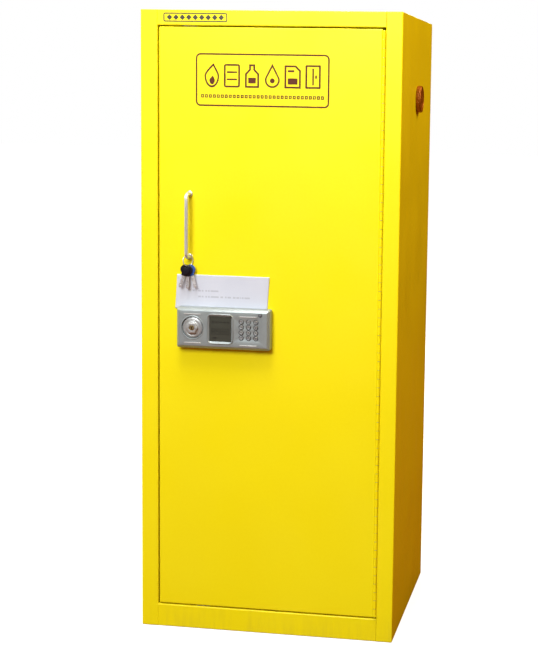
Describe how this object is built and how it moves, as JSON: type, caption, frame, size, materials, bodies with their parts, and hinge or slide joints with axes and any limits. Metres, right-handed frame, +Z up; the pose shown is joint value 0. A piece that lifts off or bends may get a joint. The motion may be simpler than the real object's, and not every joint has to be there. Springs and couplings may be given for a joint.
{
  "type": "flammable storage cabinet",
  "caption": "Tall yellow double-walled steel safety cabinet with one inset door, keypad lock, bolt latch, shelves and capped vents.",
  "frame": {"origin": "centre of the underside of the base, on the floor", "axes": "+Z up, the door faces -Y, the hinge is on the +X side"},
  "size_m": [0.63, 0.5336, 1.44],
  "materials": {
    "yellow_paint": "gloss powder coat with a slight orange peel",
    "lining_paint": "satin powder coat",
    "galvanised_steel": "zinc plated",
    "hinge_paint": "powder coated over steel, worn at the knuckles",
    "hinge_pin_steel": "drawn wire",
    "vent_brass": "cast, dark lacquer",
    "arrestor_mesh": "woven wire",
    "stud_brass": "turned",
    "handle_chrome": "polished",
    "lock_silver": "satin silver lacquer",
    "lock_dark": "moulded",
    "display_glass": "smooth",
    "lamp_lens": "clear lens",
    "circuit_board": "solder resist",
    "battery_plastic": "moulded",
    "battery_label": "plastic sleeve",
    "card_paper": "smooth office paper",
    "knob_chrome": "satin chrome",
    "core_brass": "turned",
    "latch_steel": "oiled",
    "key_nickel": "nickel plated",
    "key_plastic": "moulded",
    "button_chrome": "domed caps"
  },
  "bodies": {
    "cabinet": {"left_side_panel": "yellow_paint", "right_side_panel": "yellow_paint", "top_panel": "yellow_paint", "base_panel": "yellow_paint", "back_panel": "yellow_paint", "left_liner": "lining_paint", "right_liner": "lining_paint", "top_liner": "lining_paint", "back_liner": "lining_paint", "sump_tray": "lining_paint", "shelf_standards": "galvanised_steel", "shelf_brackets": "galvanised_steel", "upper_shelf": "galvanised_steel", "lower_shelf": "galvanised_steel", "vent_tubes": "vent_brass", "flame_arrestors": "arrestor_mesh", "grounding_stud": "stud_brass", "strike_plates": "galvanised_steel", "frame_hinge_leaf": "hinge_paint", "hinge_pin": "hinge_pin_steel"},
    "door": {"door_skin": "yellow_paint", "door_liner": "lining_paint", "door_hinge_leaf": "hinge_paint", "pull_handle": "handle_chrome", "handle_screws": "handle_chrome", "lock_backplate": "lock_dark", "lock_housing": "lock_silver", "display_window": "display_glass", "display_module": "lock_dark", "status_lamp": "lamp_lens", "keypad_board": "circuit_board", "latch_bearing": "galvanised_steel", "rod_guides": "galvanised_steel", "battery_box": "battery_plastic", "batteries": "battery_label", "instruction_card": "card_paper"},
    "right_cap": {"right_vent_cap": "vent_brass"},
    "left_cap": {"left_vent_cap": "vent_brass"},
    "battery_lid": {"battery_cover": "battery_plastic"},
    "knob": {"turn_knob": "knob_chrome", "drive_pinion": "latch_steel"},
    "core": {"key_core": "core_brass"},
    "top_bolt": {"top_rod": "latch_steel"},
    "bottom_bolt": {"bottom_rod": "latch_steel"},
    "latch_bolt": {"side_bolt": "latch_steel"},
    "key_bunch": {"key_ring": "key_nickel", "keys": "key_nickel", "key_heads": "key_plastic"},
    "button_1_cap": {"button_1": "button_chrome"},
    "button_2_cap": {"button_2": "button_chrome"},
    "button_3_cap": {"button_3": "button_chrome"},
    "button_4_cap": {"button_4": "button_chrome"},
    "button_5_cap": {"button_5": "button_chrome"},
    "button_6_cap": {"button_6": "button_chrome"},
    "button_7_cap": {"button_7": "button_chrome"},
    "button_8_cap": {"button_8": "button_chrome"},
    "button_9_cap": {"button_9": "button_chrome"},
    "button_10_cap": {"button_10": "button_chrome"},
    "button_11_cap": {"button_11": "button_chrome"},
    "button_12_cap": {"button_12": "button_chrome"}
  },
  "joints": [
    {"name": "door_hinge", "type": "hinge", "parent": "cabinet", "child": "door", "pos_m": [0.2585, -0.2515, 0.7], "axis": [0, 0, 1], "range_deg": [0, 175]},
    {"name": "knob_turn", "type": "hinge", "parent": "door", "child": "knob", "pos_m": [-0.17, -0.27, 0.723], "axis": [0, 1, 0], "range_deg": [0, 90]},
    {"name": "key_turn", "type": "hinge", "parent": "knob", "child": "core", "pos_m": [-0.17, -0.28, 0.723], "axis": [0, 1, 0], "range_deg": [0, 90]},
    {"name": "top_bolt_slide", "type": "slide", "parent": "door", "child": "top_bolt", "axis": [0, 0, 1], "range_m": [0, 0.01963]},
    {"name": "bottom_bolt_slide", "type": "slide", "parent": "door", "child": "bottom_bolt", "axis": [0, 0, -1], "range_m": [0, 0.01963]},
    {"name": "latch_bolt_slide", "type": "slide", "parent": "door", "child": "latch_bolt", "axis": [-1, 0, 0], "range_m": [0, 0.01963]},
    {"name": "key_bunch_swing", "type": "hinge", "parent": "door", "child": "key_bunch", "pos_m": [-0.184, -0.264, 0.883], "axis": [0, 1, 0], "range_deg": [-25, 25]},
    {"name": "battery_cover_slide", "type": "slide", "parent": "door", "child": "battery_lid", "axis": [1, 0, 0], "range_m": [0, 0.115]},
    {"name": "right_cap_pull", "type": "slide", "parent": "cabinet", "child": "right_cap", "axis": [1, 0, 0], "range_m": [0, 0.06]},
    {"name": "left_cap_pull", "type": "slide", "parent": "cabinet", "child": "left_cap", "axis": [-1, 0, 0], "range_m": [0, 0.06]},
    {"name": "button_1_press", "type": "slide", "parent": "door", "child": "button_1_cap", "axis": [0, 1, 0], "range_m": [0, 0.0012], "stiffness_N_per_m": 800},
    {"name": "button_2_press", "type": "slide", "parent": "door", "child": "button_2_cap", "axis": [0, 1, 0], "range_m": [0, 0.0012], "stiffness_N_per_m": 800},
    {"name": "button_3_press", "type": "slide", "parent": "door", "child": "button_3_cap", "axis": [0, 1, 0], "range_m": [0, 0.0012], "stiffness_N_per_m": 800},
    {"name": "button_4_press", "type": "slide", "parent": "door", "child": "button_4_cap", "axis": [0, 1, 0], "range_m": [0, 0.0012], "stiffness_N_per_m": 800},
    {"name": "button_5_press", "type": "slide", "parent": "door", "child": "button_5_cap", "axis": [0, 1, 0], "range_m": [0, 0.0012], "stiffness_N_per_m": 800},
    {"name": "button_6_press", "type": "slide", "parent": "door", "child": "button_6_cap", "axis": [0, 1, 0], "range_m": [0, 0.0012], "stiffness_N_per_m": 800},
    {"name": "button_7_press", "type": "slide", "parent": "door", "child": "button_7_cap", "axis": [0, 1, 0], "range_m": [0, 0.0012], "stiffness_N_per_m": 800},
    {"name": "button_8_press", "type": "slide", "parent": "door", "child": "button_8_cap", "axis": [0, 1, 0], "range_m": [0, 0.0012], "stiffness_N_per_m": 800},
    {"name": "button_9_press", "type": "slide", "parent": "door", "child": "button_9_cap", "axis": [0, 1, 0], "range_m": [0, 0.0012], "stiffness_N_per_m": 800},
    {"name": "button_10_press", "type": "slide", "parent": "door", "child": "button_10_cap", "axis": [0, 1, 0], "range_m": [0, 0.0012], "stiffness_N_per_m": 800},
    {"name": "button_11_press", "type": "slide", "parent": "door", "child": "button_11_cap", "axis": [0, 1, 0], "range_m": [0, 0.0012], "stiffness_N_per_m": 800},
    {"name": "button_12_press", "type": "slide", "parent": "door", "child": "button_12_cap", "axis": [0, 1, 0], "range_m": [0, 0.0012], "stiffness_N_per_m": 800}
  ],
  "couplings": [
    {"joint": "top_bolt_slide", "follows": "knob_turn", "m_per_rad": 0.0125},
    {"joint": "bottom_bolt_slide", "follows": "knob_turn", "m_per_rad": 0.0125},
    {"joint": "latch_bolt_slide", "follows": "knob_turn", "m_per_rad": 0.0125}
  ]
}
